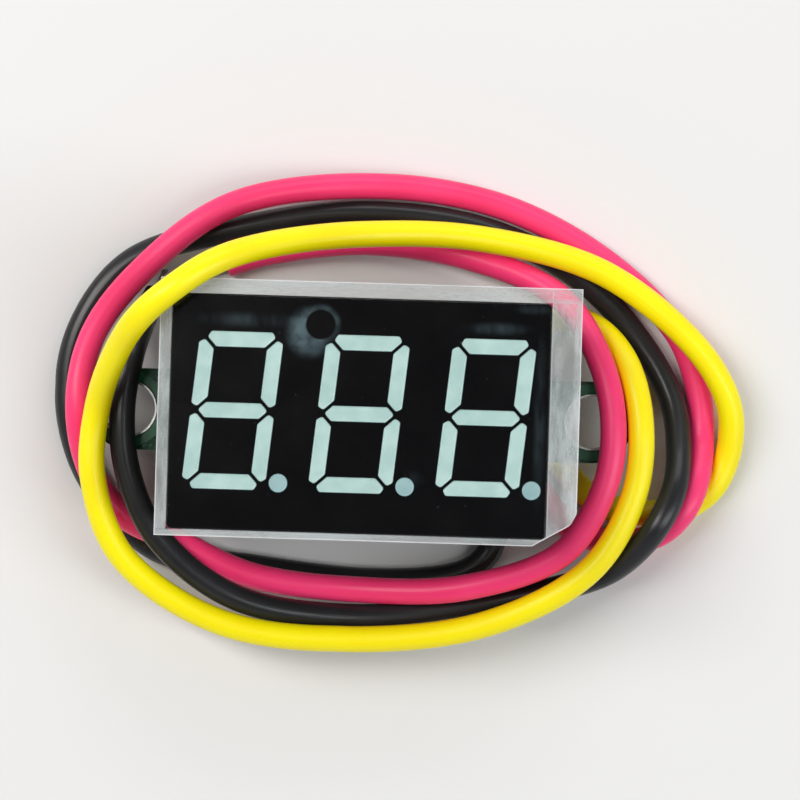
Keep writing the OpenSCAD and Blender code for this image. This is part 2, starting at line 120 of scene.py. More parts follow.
BLACK_ROUTE = [
    (8.6, -5.4, 1), (8.6, -6.8, 1), (8.1, -8.3, 0.85), (6.9, -9.4, 0.85), (4.6, -10, 0.85),
    (0, -10.2, 0.85), (-6.3, -9.6, 0.85), (-12.5, -8.6, 0.85), (-16.8, -4.2, 0.85),
    (-18.2, 0.6, 0.85), (-17.5, 5, 0.85), (-14.5, 9.1, 0.85), (-7.6, 11.4, 0.85),
    (0, 12.5, 0.85), (7.7, 11.6, 0.85), (13.6, 8.7, 0.85), (17.4, 4.7, 0.9),
    (19.2, 1.4, 1.5), (19.6, -1.6, 2.6), (19.3, -4, 3.8), (18.3, -6.2, 4.2),
    (17, -7.9, 3.4), (15.4, -9.2, 2.5), (12.7, -10.2, 2.3), (7.3, -11.5, 2.1),
    (0, -12.4, 2.4), (-7.4, -11.3, 3.8), (-12.2, -7.7, 4.3), (-14.1, -3.7, 4.45),
    (-14.5, 0, 4.55), (-14.1, 3.1, 4.2), (-13.8, 4.5, 3.1), (-13.4, 5.9, 1.9),
    (-12.8, 7.2, 1.2)]


# ---------- camera ----------

CAMERA_PLACE = (2.39, 1.02, 220)
CAMERA_TURN = 1.75


def add_camera():
    """Looks straight down, with the module turned a little clockwise in the picture."""
    data = bpy.data.cameras.new("camera")
    data.lens = 159.2
    data.sensor_width = 36
    data.clip_start = 0.01
    camera = bpy.data.objects.new("camera", data)
    camera.location = [value * MM for value in CAMERA_PLACE]
    camera.rotation_euler = (0, 0, math.radians(CAMERA_TURN))
    bpy.context.scene.collection.objects.link(camera)
    bpy.context.scene.camera = camera


add_camera()


# ---------- mesh helpers ----------

LEVEL = 0.9999                       # a face whose normal rises more than this is level


def new_object(name, mesh, material):
    obj = bpy.data.objects.new(name, mesh)
    bpy.context.scene.collection.objects.link(obj)
    mesh.materials.clear()
    mesh.materials.append(material)
    return obj


def mesh_from(name, points, faces):
    """A mesh from points in millimetres, smooth on its sides and flat on its level faces."""
    mesh = bpy.data.meshes.new(name)
    mesh.from_pydata([Vector(p) * MM for p in points], [], faces)
    work = bmesh.new()
    work.from_mesh(mesh)
    bmesh.ops.remove_doubles(work, verts=work.verts, dist=0.0005 * MM)
    bmesh.ops.recalc_face_normals(work, faces=work.faces)
    work.to_mesh(mesh)
    work.free()
    mesh.set_sharp_from_angle(angle=math.radians(45))
    for face in mesh.polygons:
        face.use_smooth = abs(face.normal.z) < LEVEL
    return mesh


def tube_mesh(name, points, faces, sleeve):
    """A mesh that keeps every point, with where each one lies round and along the wire."""
    mesh = bpy.data.meshes.new(name)
    mesh.from_pydata([Vector(p) * MM for p in points], [], faces)
    work = bmesh.new()
    work.from_mesh(mesh)
    bmesh.ops.recalc_face_normals(work, faces=work.faces)
    for face in work.faces:
        face.smooth = True
    work.to_mesh(mesh)
    work.free()
    field = mesh.attributes.new("sleeve", "FLOAT_VECTOR", "POINT")
    field.data.foreach_set("vector", [value for triple in sleeve for value in triple])
    mesh.set_sharp_from_angle(angle=math.radians(60))
    return mesh


def soften(obj, width):
    """Rounds the sharp edges of an object, with its flat faces left flat."""
    bevel = obj.modifiers.new("edges", "BEVEL")
    bevel.width = width * MM
    bevel.segments = 2
    bevel.limit_method = "ANGLE"
    bevel.angle_limit = math.radians(30)
    bevel.harden_normals = True
    bevel.miter_outer = "MITER_ARC"


def clean_copy(node):
    """The mesh of a CAD node, with its flat faces made whole."""
    work = bmesh.new()
    work.from_mesh(frame["nodes"][node].data)
    bmesh.ops.remove_doubles(work, verts=work.verts, dist=0.001 * MM)
    bmesh.ops.dissolve_limit(
        work, angle_limit=math.radians(0.5), verts=work.verts, edges=work.edges)
    mesh = bpy.data.meshes.new(node)
    work.to_mesh(mesh)
    work.free()
    for face in mesh.polygons:
        face.use_smooth = True
    return mesh


def place(obj, nodes=(), body=body_name):
    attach(obj, body)
    if nodes:
        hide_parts(*nodes)
    return obj


def add_piece(name, shape, material, slot, *nodes):
    """A piece from points and faces, in the place of the CAD nodes that it replaces."""
    return place(new_object(name, mesh_from(name, *shape), material), nodes)


def dress(node, name, material, width, slot, body=body_name):
    """A piece with a CAD node's own shape and rounded edges, in the node's place."""
    obj = new_object(name, clean_copy(node), material)
    soften(obj, width)
    place(obj, [node], body)


def turned(outline, left):
    """The outline as vectors, run so that its body lies on its left, or on its right."""
    points = [Vector((x, y)) for x, y in outline]
    area = sum(a.cross(b) for a, b in zip(points, points[1:] + points[:1]))
    return points if (area > 0) == left else points[::-1]


def inset(outline, distance):
    """The outline moved to its left, with its corners mitred."""
    result = []
    for before, here, after in zip(outline[-1:] + outline[:-1], outline, outline[1:] + outline[:1]):
        a = (here - before).normalized()
        b = (after - here).normalized()
        normal = Vector((-a.y - b.y, a.x + b.x))
        result.append(here + normal * distance / (1 + a.dot(b)))
    return result


def rounded(outline, radius, steps=4):
    """The outline with round corners."""
    points = [Vector((x, y)) for x, y in outline]
    result = []
    for before, here, after in zip(points[-1:] + points[:-1], points, points[1:] + points[:1]):
        a = (before - here).normalized()
        b = (after - here).normalized()
        turn = math.pi - a.angle(b)
        reach = min(radius * math.tan(turn / 2), (before - here).length * 0.45,
                    (after - here).length * 0.45)
        for i in range(steps + 1):
            t = i / steps
            first = (here + a * reach).lerp(here, t)
            result.append(first.lerp(here.lerp(here + b * reach, t), t))
    return result


def cap(outlines, height):
    """A level face over the first outline, without the others."""
    loops = [[Vector((p.x, p.y, 0)) for p in outline] for outline in outlines]
    points = [(p.x, p.y, height) for outline in outlines for p in outline]
    return points, [list(face) for face in tessellate_polygon(loops)]


def plate(outlines, profile, hole_share=1.0, low_cap=None):
    """A flat body. Its first outline is the rim and the others are holes.

    The profile gives the rim's inset at each height, upwards. A hole is widened by its share.
    """
    loops = [turned(outline, i == 0) for i, outline in enumerate(outlines)]
    shares = [1.0] + [hole_share] * (len(loops) - 1)
    rows = [[inset(loop, step * share) for loop, share in zip(loops, shares)] for step, _ in profile]
    parts = [cap(low_cap or rows[0], profile[0][1]), cap(rows[-1], profile[-1][1])]
    for k in range(len(loops)):
        count = len(loops[k])
        points = [(p.x, p.y, height) for row, (_, height) in zip(rows, profile) for p in row[k]]
        faces = []
        for level in range(len(profile) - 1):
            for i in range(count):
                a, b = level * count + i, level * count + (i + 1) % count
                faces.append([a, b, b + count, a + count])
        parts.append((points, faces))
    return merge(parts)


def round_edges(low, high, edge, steps=3):
    """The profile of a plate with both its edges rounded."""
    profile = []
    for i in range(steps + 1):
        angle = math.pi / 2 * i / steps
        profile.append((edge * (1 - math.sin(angle)), low + edge * (1 - math.cos(angle))))
    return profile + [(step, high - (height - low)) for step, height in reversed(profile)]


def stroke(points, width):
    """The outline of a line of some width through the points."""
    line = [Vector(p) for p in points]
    sides = []
    for i, here in enumerate(line):
        a = (here - line[i - 1]).normalized() if i else (line[1] - here).normalized()
        b = (line[i + 1] - here).normalized() if i + 1 < len(line) else a
        normal = Vector((-a.y - b.y, a.x + b.x)) / (1 + a.dot(b))
        sides.append(normal * width / 2)
    left = [p + side for p, side in zip(line, sides)]
    right = [p - side for p, side in zip(line, sides)]
    return left + right[::-1]


def top_outlines(node):
    """The outline of each upper face of a CAD node, in millimetres."""
    mesh = clean_copy(node)
    outlines = [
        [tuple((mesh.vertices[v].co / MM).xy) for v in face.vertices]
        for face in mesh.polygons if face.normal.z > 0.99]
    bpy.data.meshes.remove(mesh)
    return outlines


def arc(cx, cy, r, start, end, steps):
    """Points along an arc, in degrees, with both ends."""
    return [
        (cx + r * math.cos(math.radians(start + (end - start) * i / steps)),
         cy + r * math.sin(math.radians(start + (end - start) * i / steps)))
        for i in range(steps + 1)]


def circle(cx, cy, r, steps=64):
    return arc(cx, cy, r, 0, 360 - 360 / steps, steps - 1)


def lathe(places, profile, steps, turn=None):
    """Points and faces of a closed profile of (radius, height), turned about Z at each place."""
    points, faces = [], []
    for px, py in places:
        rows = []
        for radius, height in profile:
            if radius < 1e-6:
                rows.append([len(points)])
                points.append((px, py, height))
                continue
            row = []
            for k in range(steps):
                angle = 2 * math.pi * k / steps
                reach = radius * (turn(px, py, angle, radius) if turn else 1)
                row.append(len(points))
                points.append((px + reach * math.cos(angle), py + reach * math.sin(angle), height))
            rows.append(row)
        for a, b in zip(rows, rows[1:]):
            for k in range(steps):
                m = (k + 1) % steps
                ring = [a[k % len(a)], a[m % len(a)], b[m % len(b)], b[k % len(b)]]
                faces.append(list(dict.fromkeys(ring)))
    return points, faces


def along_curve(route, step=0.3):
    """Points every step or so along a smooth curve through the route."""
    points = [Vector(p) for p in route]
    ends = [2 * points[0] - points[1]] + points + [2 * points[-1] - points[-2]]
    result = []
    for p0, p1, p2, p3 in zip(ends, ends[1:], ends[2:], ends[3:]):
        t1 = math.sqrt((p1 - p0).length)
        t2 = t1 + math.sqrt((p2 - p1).length)
        t3 = t2 + math.sqrt((p3 - p2).length)
        count = max(2, round((p2 - p1).length / step))
        for k in range(count):
            t = t1 + (t2 - t1) * k / count
            a1 = p0.lerp(p1, t / t1)
            a2 = p1.lerp(p2, (t - t1) / (t2 - t1))
            a3 = p2.lerp(p3, (t - t2) / (t3 - t2))
            b1 = a1.lerp(a2, t / t2)
            b2 = a2.lerp(a3, (t - t1) / (t3 - t1))
            result.append(b1.lerp(b2, (t - t1) / (t2 - t1)))
    return result + [points[-1]]


def headings_along(line):
    """The direction of travel at each point of a line."""
    last = len(line) - 1
    return [(line[min(i + 1, last)] - line[max(i - 1, 0)]).normalized() for i in range(len(line))]


def round_angles(sides):
    return [2 * math.pi * k / sides for k in range(sides)]


def sweep(rings, sides):
    """Points and faces of a closed tube through rings of (centre, heading, radius)."""
    points, faces = [], []
    side = Vector((0, 0, 1))
    for centre, heading, radius in rings:
        side = (side - heading * side.dot(heading)).normalized()
        across = heading.cross(side)
        points += [centre + radius * (math.cos(angle) * side + math.sin(angle) * across)
                   for angle in round_angles(sides)]
    for i in range(len(rings) - 1):
        for k in range(sides):
            m = (k + 1) % sides
            faces.append([i * sides + k, i * sides + m, (i + 1) * sides + m, (i + 1) * sides + k])
    last = (len(rings) - 1) * sides
    return points, faces + [list(range(sides)), [last + k for k in reversed(range(sides))]]


def merge(parts):
    """Points and faces of several parts as one."""
    points, faces = [], []
    for part_points, part_faces in parts:
        start = len(points)
        points += part_points
        faces += [[start + v for v in face] for face in part_faces]
    return points, faces


# ---------- material helpers ----------

class Shade:
    """Builds one node tree. A value that is a socket is linked, and any other is set.

    Colours are given as red, green and blue.
    """

    def __init__(self, tree):
        self.tree = tree

    def set(self, socket, value):
        if isinstance(value, bpy.types.NodeSocket):
            self.tree.links.new(value, socket)
        else:
            socket.default_value = (*value, 1.0) if socket.type == "RGBA" else value

    def feed(self, node, **inputs):
        """Links or sets inputs by name, or by number as i0, i1 and so on."""
        for key, value in inputs.items():
            name = int(key[1:]) if key[0] == "i" and key[1:].isdigit() else key.replace("_", " ")
            self.set(node.inputs[name], value)
        return node

    def node(self, kind, settings=None, **inputs):
        node = self.tree.nodes.new(kind)
        for key, value in (settings or {}).items():
            setattr(node, key, value)
        return self.feed(node, **inputs)

    def math(self, operation, a, b=0.0, clamp=False):
        node = self.node("ShaderNodeMath", {"operation": operation, "use_clamp": clamp}, i0=a, i1=b)
        return node.outputs[0]

    def plus(self, a, b):
        return self.math("ADD", a, b)

    def minus(self, a, b):
        return self.math("SUBTRACT", a, b)

    def times(self, a, b):
        return self.math("MULTIPLY", a, b)

    def most(self, a, b):
        return self.math("MAXIMUM", a, b)

    def least(self, a, b):
        return self.math("MINIMUM", a, b)

    def height(self, vector):
        return self.node("ShaderNodeSeparateXYZ", Vector=vector).outputs[2]

    def level(self):
        """How far the surface faces up: 1 on top, 0 on the sides, -1 underneath."""
        return self.height(self.node("ShaderNodeNewGeometry").outputs["Normal"])

    def position(self):
        return self.node("ShaderNodeTexCoord").outputs["Object"]

    def stretched(self, vector, scale):
        return self.node("ShaderNodeMapping", i0=vector, i3=scale).outputs[0]

    def noise(self, scale, detail=3.0, vector=None, roughness=0.5):
        where = self.position() if vector is None else vector
        node = self.node("ShaderNodeTexNoise", Vector=where, Scale=scale, Detail=detail,
                         Roughness=roughness)
        return node.outputs["Fac"]

    def span(self, value, low, high, to_low=0.0, to_high=1.0):
        node = self.node("ShaderNodeMapRange", {"interpolation_type": "SMOOTHSTEP"},
                         i0=value, i1=low, i2=high, i3=to_low, i4=to_high)
        return node.outputs[0]

    def mix(self, factor, a, b):
        node = self.node("ShaderNodeMix", {"data_type": "RGBA"}, i0=factor, i6=a, i7=b)
        return node.outputs[2]

    def bump(self, height, distance, normal=None):
        node = self.node("ShaderNodeBump", Height=height, Distance=distance, Strength=1.0)
        if normal is not None:
            self.set(node.inputs["Normal"], normal)
        return node.outputs[0]


def new_material(name):
    material = bpy.data.materials.new(name)
    material.use_nodes = True
    tree = material.node_tree
    return material, Shade(tree), tree.nodes["Principled BSDF"]


def make_skin():
    """A shared group: fine grain and slow clouds, as a colour mask, a roughness and a normal."""
    group = bpy.data.node_groups.new("skin", "ShaderNodeTree")
    for label in ("Grain", "Cloud", "Roughness", "Spread", "Depth"):
        group.interface.new_socket(label, in_out="INPUT", socket_type="NodeSocketFloat")
    for label, kind in (("Cloud", "Float"), ("Roughness", "Float"), ("Normal", "Vector")):
        group.interface.new_socket(label, in_out="OUTPUT", socket_type="NodeSocket" + kind)
    shade = Shade(group)
    given = group.nodes.new("NodeGroupInput").outputs
    result = group.nodes.new("NodeGroupOutput")
    fine = shade.noise(given["Grain"], 2.0)
    slow = shade.noise(given["Cloud"], 4.0)
    rough = shade.plus(given["Roughness"], shade.times(given["Spread"], slow))
    shade.feed(result, Cloud=shade.span(slow, 0.3, 0.7), Normal=shade.bump(fine, given["Depth"]),
               Roughness=shade.plus(rough, shade.times(fine, 0.04)))
    return group


SKIN = make_skin()


def skin_of(shade, roughness, grain, cloud, spread, depth):
    return shade.node("ShaderNodeGroup", {"node_tree": SKIN}, Grain=grain, Cloud=cloud,
                      Roughness=roughness, Spread=spread, Depth=depth).outputs


def skinned(name, dark, light, roughness, grain=9000.0, cloud=300.0, spread=0.1, depth=3e-6, **more):
    """A material with the shared skin, from dark to light in slow clouds."""
    material, shade, surface = new_material(name)
    skin = skin_of(shade, roughness, grain, cloud, spread, depth)
    shade.feed(surface, Base_Color=shade.mix(skin["Cloud"], dark, light),
               Roughness=skin["Roughness"], Normal=skin["Normal"], **more)
    return material


# ---------- materials ----------

def make_insulation(name, base, shadow, roughness):
    """Extruded PVC: long faint streaks and a soft skin. The sleeve attribute runs round and along."""
    material, shade, surface = new_material(name)
    sleeve = shade.node("ShaderNodeAttribute", {"attribute_name": "sleeve"}).outputs["Vector"]
    lines = shade.noise(5.0, 3.0, shade.stretched(sleeve, (1.0, 1.0, 0.05)))
    tone = shade.span(shade.noise(180.0), 0.35, 0.65)
    streaks = shade.bump(lines, 0.000012)
    shade.feed(surface, Base_Color=shade.mix(tone, base, shadow),
               Roughness=shade.plus(roughness, shade.times(lines, 0.12)),
               Normal=shade.bump(shade.noise(14000.0, 2.0), 0.0000016, streaks),
               Subsurface_Weight=0.12, Subsurface_Radius=(0.0006, 0.0004, 0.0003),
               Specular_IOR_Level=0.35)
    return material


def outside(shade, value, limit):
    """How far a coordinate lies past a limit on either side of the middle."""
    return shade.minus(shade.math("ABSOLUTE", value), limit)


def film_streaks(shade, where, y):
    """Fine streaks that follow the nearest edge of the film."""
    down = shade.noise(700.0, 6.0, shade.stretched(where, (1.0, 0.22, 1.0)), 0.7)
    across = shade.noise(900.0, 6.0, shade.stretched(where, (0.12, 1.0, 1.0)), 0.7)
    past_end = shade.span(outside(shade, y, HALF_W), -0.05, 0.05)
    return shade.plus(shade.times(across, past_end), shade.times(down, shade.minus(1.0, past_end)))


def film_rim(shade, x, y, cloud):
    """A mask of the film's cut edges."""
    to_side = shade.least(shade.minus(x, film_low.x), shade.minus(film_high.x, x))
    to_end = shade.least(shade.minus(y, film_low.y), shade.minus(film_high.y, y))
    slope = (FILM_CUT_X - FILM_NICK) / FILM_STEP_Y
    cut_x = shade.plus(film_high.x - FILM_CUT_X - film_low.y * slope, shade.times(y, slope))
    to_cut = shade.times(shade.minus(cut_x, x), 0.5)
    to_edge = shade.least(shade.least(to_side, to_end), to_cut)
    return shade.span(shade.plus(to_edge, shade.times(cloud, 0.06)), 0.05, 0.13, 1.0, 0.0)


def film_marks(shade, x, y, streaks):
    """A mottled painted highlight round the bubble, and wisps and grit of haze where the film lies on
    the face.
    """
    def spot(cx, cy, rx, ry, inner):
        """1 in the middle of an ellipse, fading from this share of its reach."""
        dx = shade.math("DIVIDE", shade.minus(x, cx), rx)
        dy = shade.math("DIVIDE", shade.minus(y, cy), ry)
        square = shade.plus(shade.times(dx, dx), shade.times(dy, dy))
        return shade.span(shade.math("SQRT", square), inner, 1.0, 1.0, 0.0)

    # Painted highlight: a lighter ring round the bubble, wider towards its lower left and mottled by
    # noise, put into the film's milk.
    highlight_halo = spot(BUBBLE.x - 0.7, BUBBLE.y - 0.5, 1.55, 1.75, 0.35)
    highlight_band = spot(BUBBLE.x, BUBBLE.y, BUBBLE_R + 0.35, BUBBLE_R + 0.35, 0.75)
    inside = spot(BUBBLE.x, BUBBLE.y, BUBBLE_R, BUBBLE_R, 0.86)
    ring = shade.times(shade.most(highlight_halo, shade.times(highlight_band, 0.4)), shade.minus(1.0, inside))
    ring = shade.times(ring, shade.span(shade.noise(1100.0, 4.0), 0.35, 0.65, 0.35, 1.0))
    wisps = spot(-6.8, 5.5, 4.2, 0.6, 0.0)
    for wisp in ((8.0, 5.4, 2.6, 0.5), (10.2, 6.6, 1.5, 0.4), (3.1, -3.7, 1.0, 0.8),
                 (10.7, 0.0, 0.5, 6.5)):
        wisps = shade.most(wisps, spot(*wisp, 0.1))
    wisps = shade.times(wisps, shade.span(streaks, 0.35, 0.8))
    highlight_and_marks = shade.plus(shade.times(ring, 0.11), shade.times(wisps, 0.035))
    return shade.plus(highlight_and_marks, shade.times(shade.span(shade.noise(3000.0, 2.0), 0.72, 0.8), 0.04))


def make_film():
    """Clear where it lies on the face, milky where it overhangs, with bright cut edges."""
    material, shade, surface = new_material("clear_film")
    where = shade.position()
    split = shade.node("ShaderNodeSeparateXYZ", Vector=where)
    x = shade.times(split.outputs[0], 1000.0)
    y = shade.times(split.outputs[1], 1000.0)
    cloud = shade.noise(260.0, 4.0)
    streaks = film_streaks(shade, where, y)
    free = shade.span(shade.most(outside(shade, x, HALF_L), outside(shade, y, HALF_W)), -0.02, 0.06)
    rim = film_rim(shade, x, y, cloud)
    crease = shade.span(shade.math("ABSOLUTE", shade.minus(x, HALF_L + 0.03)), 0.03, 0.1, 0.5, 0.0)
    hanging = shade.span(streaks, 0.38, 0.64, 0.22, 0.58)
    # Milk where the film overhangs, the painted highlight round the bubble and the face's wisps and
    # grit, then the cut edges and the crease.
    haze_and_highlight = shade.math("ADD", shade.times(free, hanging), film_marks(shade, x, y, streaks), True)
    haze_and_highlight = shade.most(shade.most(haze_and_highlight, shade.times(rim, 0.62)), shade.times(free, crease))
    tone = shade.mix(free, (0.38, 0.58, 0.66), (0.52, 0.56, 0.56))
    milk = shade.node("ShaderNodeBsdfPrincipled", Roughness=0.4, Normal=shade.bump(streaks, 0.00003),
                      Base_Color=shade.mix(rim, tone, (0.82, 0.82, 0.84)))
    clear = shade.node("ShaderNodeBsdfTransparent")
    gloss = shade.node("ShaderNodeBsdfGlossy", Roughness=0.1, Normal=shade.bump(cloud, 0.00004))
    facing = shade.minus(1.0, shade.node("ShaderNodeNewGeometry").outputs["Backfacing"])
    shine = shade.times(shade.node("ShaderNodeFresnel", IOR=1.35).outputs[0], facing)
    sheet = shade.node("ShaderNodeMixShader", i0=haze_and_highlight, i1=clear.outputs[0], i2=milk.outputs[0])
    top = shade.node("ShaderNodeMixShader", i0=shine, i1=sheet.outputs[0], i2=gloss.outputs[0])
    shade.feed(material.node_tree.nodes["Material Output"], Surface=top.outputs[0])
    material.node_tree.nodes.remove(surface)
    return material


def make_epoxy(name, dark, light):
    """Milky epoxy of the segments, with faint clouds and a satin top."""
    material, shade, surface = new_material(name)
    cloud = shade.noise(900.0)
    shade.feed(surface, Base_Color=shade.mix(shade.span(cloud, 0.3, 0.7), dark, light),
               Roughness=shade.span(cloud, 0.2, 0.8, 0.3, 0.45),
               Normal=shade.bump(shade.noise(7000.0), 0.000002),
               Subsurface_Weight=0.2, Subsurface_Radius=(0.0004, 0.0005, 0.0005))
    return material


def make_housing():
    """Black moulding: a polished face, and satin sides with a fine spark-eroded grain."""
    material, shade, surface = new_material("black_housing")
    skin = skin_of(shade, 0.12, 12000.0, 400.0, 0.08, 0.0000008)
    side = shade.span(shade.level(), 0.3, 0.9, 1.0, 0.0)
    grain = shade.times(shade.noise(5500.0), side)
    tone = shade.mix(shade.times(side, skin["Cloud"]), (0.0022, 0.0022, 0.0027), (0.011, 0.011, 0.012))
    shade.feed(surface, Base_Color=tone,
               Roughness=shade.plus(skin["Roughness"], shade.times(side, 0.28)),
               Normal=shade.bump(grain, 0.000012, skin["Normal"]), Specular_IOR_Level=0.4)
    return material


def make_mask():
    """Green solder mask with a wet gloss over glass cloth, and bare layers at the cut edges."""
    material, shade, surface = new_material("solder_mask")
    where = shade.position()
    weave, weft = [
        shade.node("ShaderNodeTexWave", {"wave_type": "BANDS", "bands_direction": way},
                   Vector=where, Scale=900.0, Distortion=1.5).outputs["Fac"] for way in "XY"]
    cloth = shade.times(weave, weft)
    cloud = shade.noise(350.0, 4.0)
    tone = shade.mix(shade.span(cloud, 0.3, 0.7), (0.006, 0.045, 0.022), (0.01, 0.075, 0.036))
    tone = shade.mix(shade.times(cloth, 0.25), tone, (0.03, 0.14, 0.07))
    side = shade.span(shade.math("ABSOLUTE", shade.level()), 0.2, 0.6, 1.0, 0.0)
    layers = shade.noise(1200.0, 2.0, shade.stretched(where, (0.2, 0.2, 12.0)))
    core = shade.mix(layers, (0.09, 0.13, 0.05), (0.24, 0.25, 0.12))
    shade.feed(surface, Base_Color=shade.mix(side, tone, core), Normal=shade.bump(cloth, 0.000004),
               Roughness=shade.plus(shade.times(side, 0.4), shade.span(cloud, 0.2, 0.8, 0.18, 0.32)))
    return material


def make_metal(name, dark, light, roughness, depth=8e-6):
    return skinned(name, dark, light, roughness, 3500.0, 900.0, 0.2, depth, Metallic=1.0)


def make_floor():
    material, shade, surface = new_material("floor")
    tone = shade.mix(shade.noise(20.0, 4.0), (0.74, 0.73, 0.72), (0.78, 0.77, 0.76))
    shade.feed(surface, Base_Color=tone, Roughness=0.75)
    return material


HOUSING = make_housing()
MOULDED = skinned("moulded_black", (0.012, 0.012, 0.013), (0.022, 0.022, 0.024), 0.55,
                  16000.0, 700.0, 0.1, 9e-6)
BASE_EPOXY = skinned("base_epoxy", (0.5, 0.47, 0.38), (0.6, 0.57, 0.47), 0.5)
GLAZE = skinned("resistor_glaze", (0.01, 0.01, 0.012), (0.02, 0.02, 0.024), 0.25)
CERAMIC = skinned("capacitor_ceramic", (0.3, 0.2, 0.11), (0.38, 0.26, 0.15), 0.45, 15000.0, 1500.0)
TRIM_BASE = skinned("trimmer_ceramic", (0.62, 0.58, 0.47), (0.72, 0.68, 0.57), 0.4, 12000.0)
SILK = skinned("silkscreen_ink", (0.62, 0.62, 0.6), (0.78, 0.78, 0.76), 0.6, 20000.0, 2500.0)
TRACK = skinned("masked_copper", (0.012, 0.09, 0.04), (0.018, 0.13, 0.06), 0.25, 9000.0, 800.0)
SOLDER = make_metal("solder", (0.5, 0.5, 0.5), (0.78, 0.78, 0.77), 0.12, 1.2e-5)
TIN = make_metal("tinned_lead", (0.5, 0.5, 0.49), (0.72, 0.72, 0.7), 0.25)
PIN = make_metal("tinned_pin", (0.5, 0.49, 0.46), (0.74, 0.73, 0.7), 0.22)
PAD = make_metal("tinned_pad", (0.48, 0.48, 0.46), (0.7, 0.7, 0.67), 0.25)
CAP = make_metal("end_cap", (0.52, 0.52, 0.51), (0.76, 0.76, 0.75), 0.28)
ROTOR = make_metal("rotor_metal", (0.48, 0.34, 0.14), (0.72, 0.56, 0.28), 0.25)
STRANDS = make_metal("tinned_strands", (0.5, 0.5, 0.49), (0.76, 0.76, 0.74), 0.2)
EPOXY = make_epoxy("segment_epoxy", (0.38, 0.55, 0.52), (0.45, 0.62, 0.585))
POINT_EPOXY = make_epoxy("point_epoxy", (0.25, 0.4, 0.41), (0.3, 0.46, 0.47))
MASK = make_mask()
FILM = make_film()
RED = make_insulation("red_insulation", (0.98, 0.048, 0.19), (0.92, 0.04, 0.165), 0.32)
BLACK = make_insulation("black_insulation", (0.014, 0.014, 0.015), (0.02, 0.02, 0.022), 0.24)
YELLOW = make_insulation("yellow_insulation", (1.0, 0.86, 0.001), (1.0, 0.81, 0.001), 0.32)


# ---------- wires ----------

WIRE_SIDES = 28
WIRE_REACH = WIRE_R * 1.007          # the insulation swells this far
CUT_LIP = 0.07                       # how far the end of the insulation is rounded
CUT_DEPTH = 0.5                      # how deep the strands show inside the end
CUT_RADIUS = STRAND_R + 0.05
FINE_R = 0.128                       # one strand, and its tip
FINE_TIP_R = 0.09
FINE_RING = 2 * FINE_R + 0.006       # from the middle strand to those round it


def kept_inside(point, reach):
    """The point, moved so that what reaches this far round it stays in the CAD box."""
    low, high = cad_box
    return Vector([
        min(max(value, a / MM + reach), b / MM - reach) for value, a, b in zip(point, low, high)])


def wire_rings(line, seed):
    """The rings of the insulation, and the distance along the wire at each.

    It swells and thins a little, and is trimmed and slightly rounded at both ends.
    """
    headings = headings_along(line)
    ends = [(-CUT_DEPTH, CUT_RADIUS), (0.0, CUT_RADIUS), (0.0, WIRE_R - CUT_LIP)]
    random.seed(seed)
    wander = [random.uniform(0, 6) for _ in range(3)]
    head = (line[0] - line[1]).normalized()
    tail = (line[-1] - line[-2]).normalized()
    rings = [(line[0] + head * depth, headings[0], radius) for depth, radius in ends]
    pulled_in = [line[0] - head * CUT_LIP * 0.8] + line[1:-1] + [line[-1] - tail * CUT_LIP * 0.8]
    for i, centre in enumerate(pulled_in):
        swell = 1 + 0.004 * math.sin(i * 0.11 + wander[0]) + 0.003 * math.sin(i * 0.37 + wander[1])
        rings.append((centre, headings[i], WIRE_R * swell))
    rings += [(line[-1] + tail * depth, headings[-1], radius) for depth, radius in reversed(ends)]
    runs = [0.0] * (len(ends) + 1)
    steps = [(b - a).length for a, b in zip(line, line[1:])]
    for step in steps + steps[-1:] * len(ends):
        runs.append(runs[-1] + step)
    return rings, runs


def wire_mesh(name, route):
    """Insulation along the route, open over the strands, and the line through its middle."""
    line = [kept_inside(point, WIRE_REACH) for point in along_curve(route)]
    rings, runs = wire_rings(line, len(route))
    points, faces = sweep(rings, WIRE_SIDES)
    sleeve = [(math.cos(angle), math.sin(angle), run)
              for run in runs for angle in round_angles(WIRE_SIDES)]
    return tube_mesh(name, points, faces, sleeve), line


def strand_bundle(start, direction, length, splay, seed):
    """Seven twisted strands from inside the cut end, spreading a little towards their tips."""
    random.seed(seed)
    heading = Vector(direction).normalized()
    side = heading.cross(Vector((0, 0, 1))).normalized()
    up = side.cross(heading)
    parts = []
    for k in range(7):
        reach = 0 if k == 6 else FINE_RING
        stop = length * random.uniform(0.93, 1.0)
        centres = []
        for i in range(11):
            along = -0.4 + (stop + 0.4) * i / 10
            angle = 2 * math.pi * k / 6 + along * 0.55
            spread = reach * (1 + splay * max(0.0, along / length) ** 2)
            centres.append(Vector(start) + heading * along
                           + (side * math.cos(angle) + up * math.sin(angle)) * spread)
        radii = [FINE_R] * 10 + [FINE_TIP_R]
        parts.append(sweep(list(zip(centres, headings_along(centres), radii)), 8))
    return merge(parts)


def add_wire(colour, route, material):
    """A wire with its strands, from the board to its bare end."""
    mesh, line = wire_mesh(colour + "_wire_insulation", route)
    wire = new_object(colour + "_wire_insulation", mesh, material)
    place(wire, [colour + "_wire"])
    first, second = Vector(route[0]), Vector(route[1])
    back = Vector((first.x - second.x, first.y - second.y, 0))
    end = Vector(route[-1]) - Vector(route[-2])
    seed = len(route)
    board_end = strand_bundle(first, back, 1.55, 0.0, seed)
    free_end = strand_bundle(route[-1], end, 1.6, 0.12, seed + 1)
    name = colour + "_wire_strands"
    strands = add_piece(name, merge([board_end, free_end]), STRANDS,
                        "tinned_strands", colour + "_wire_ends")


add_wire("red", RED_ROUTE, RED)
add_wire("black", BLACK_ROUTE, BLACK)
add_wire("yellow", YELLOW_ROUTE, YELLOW)


# ---------- display ----------

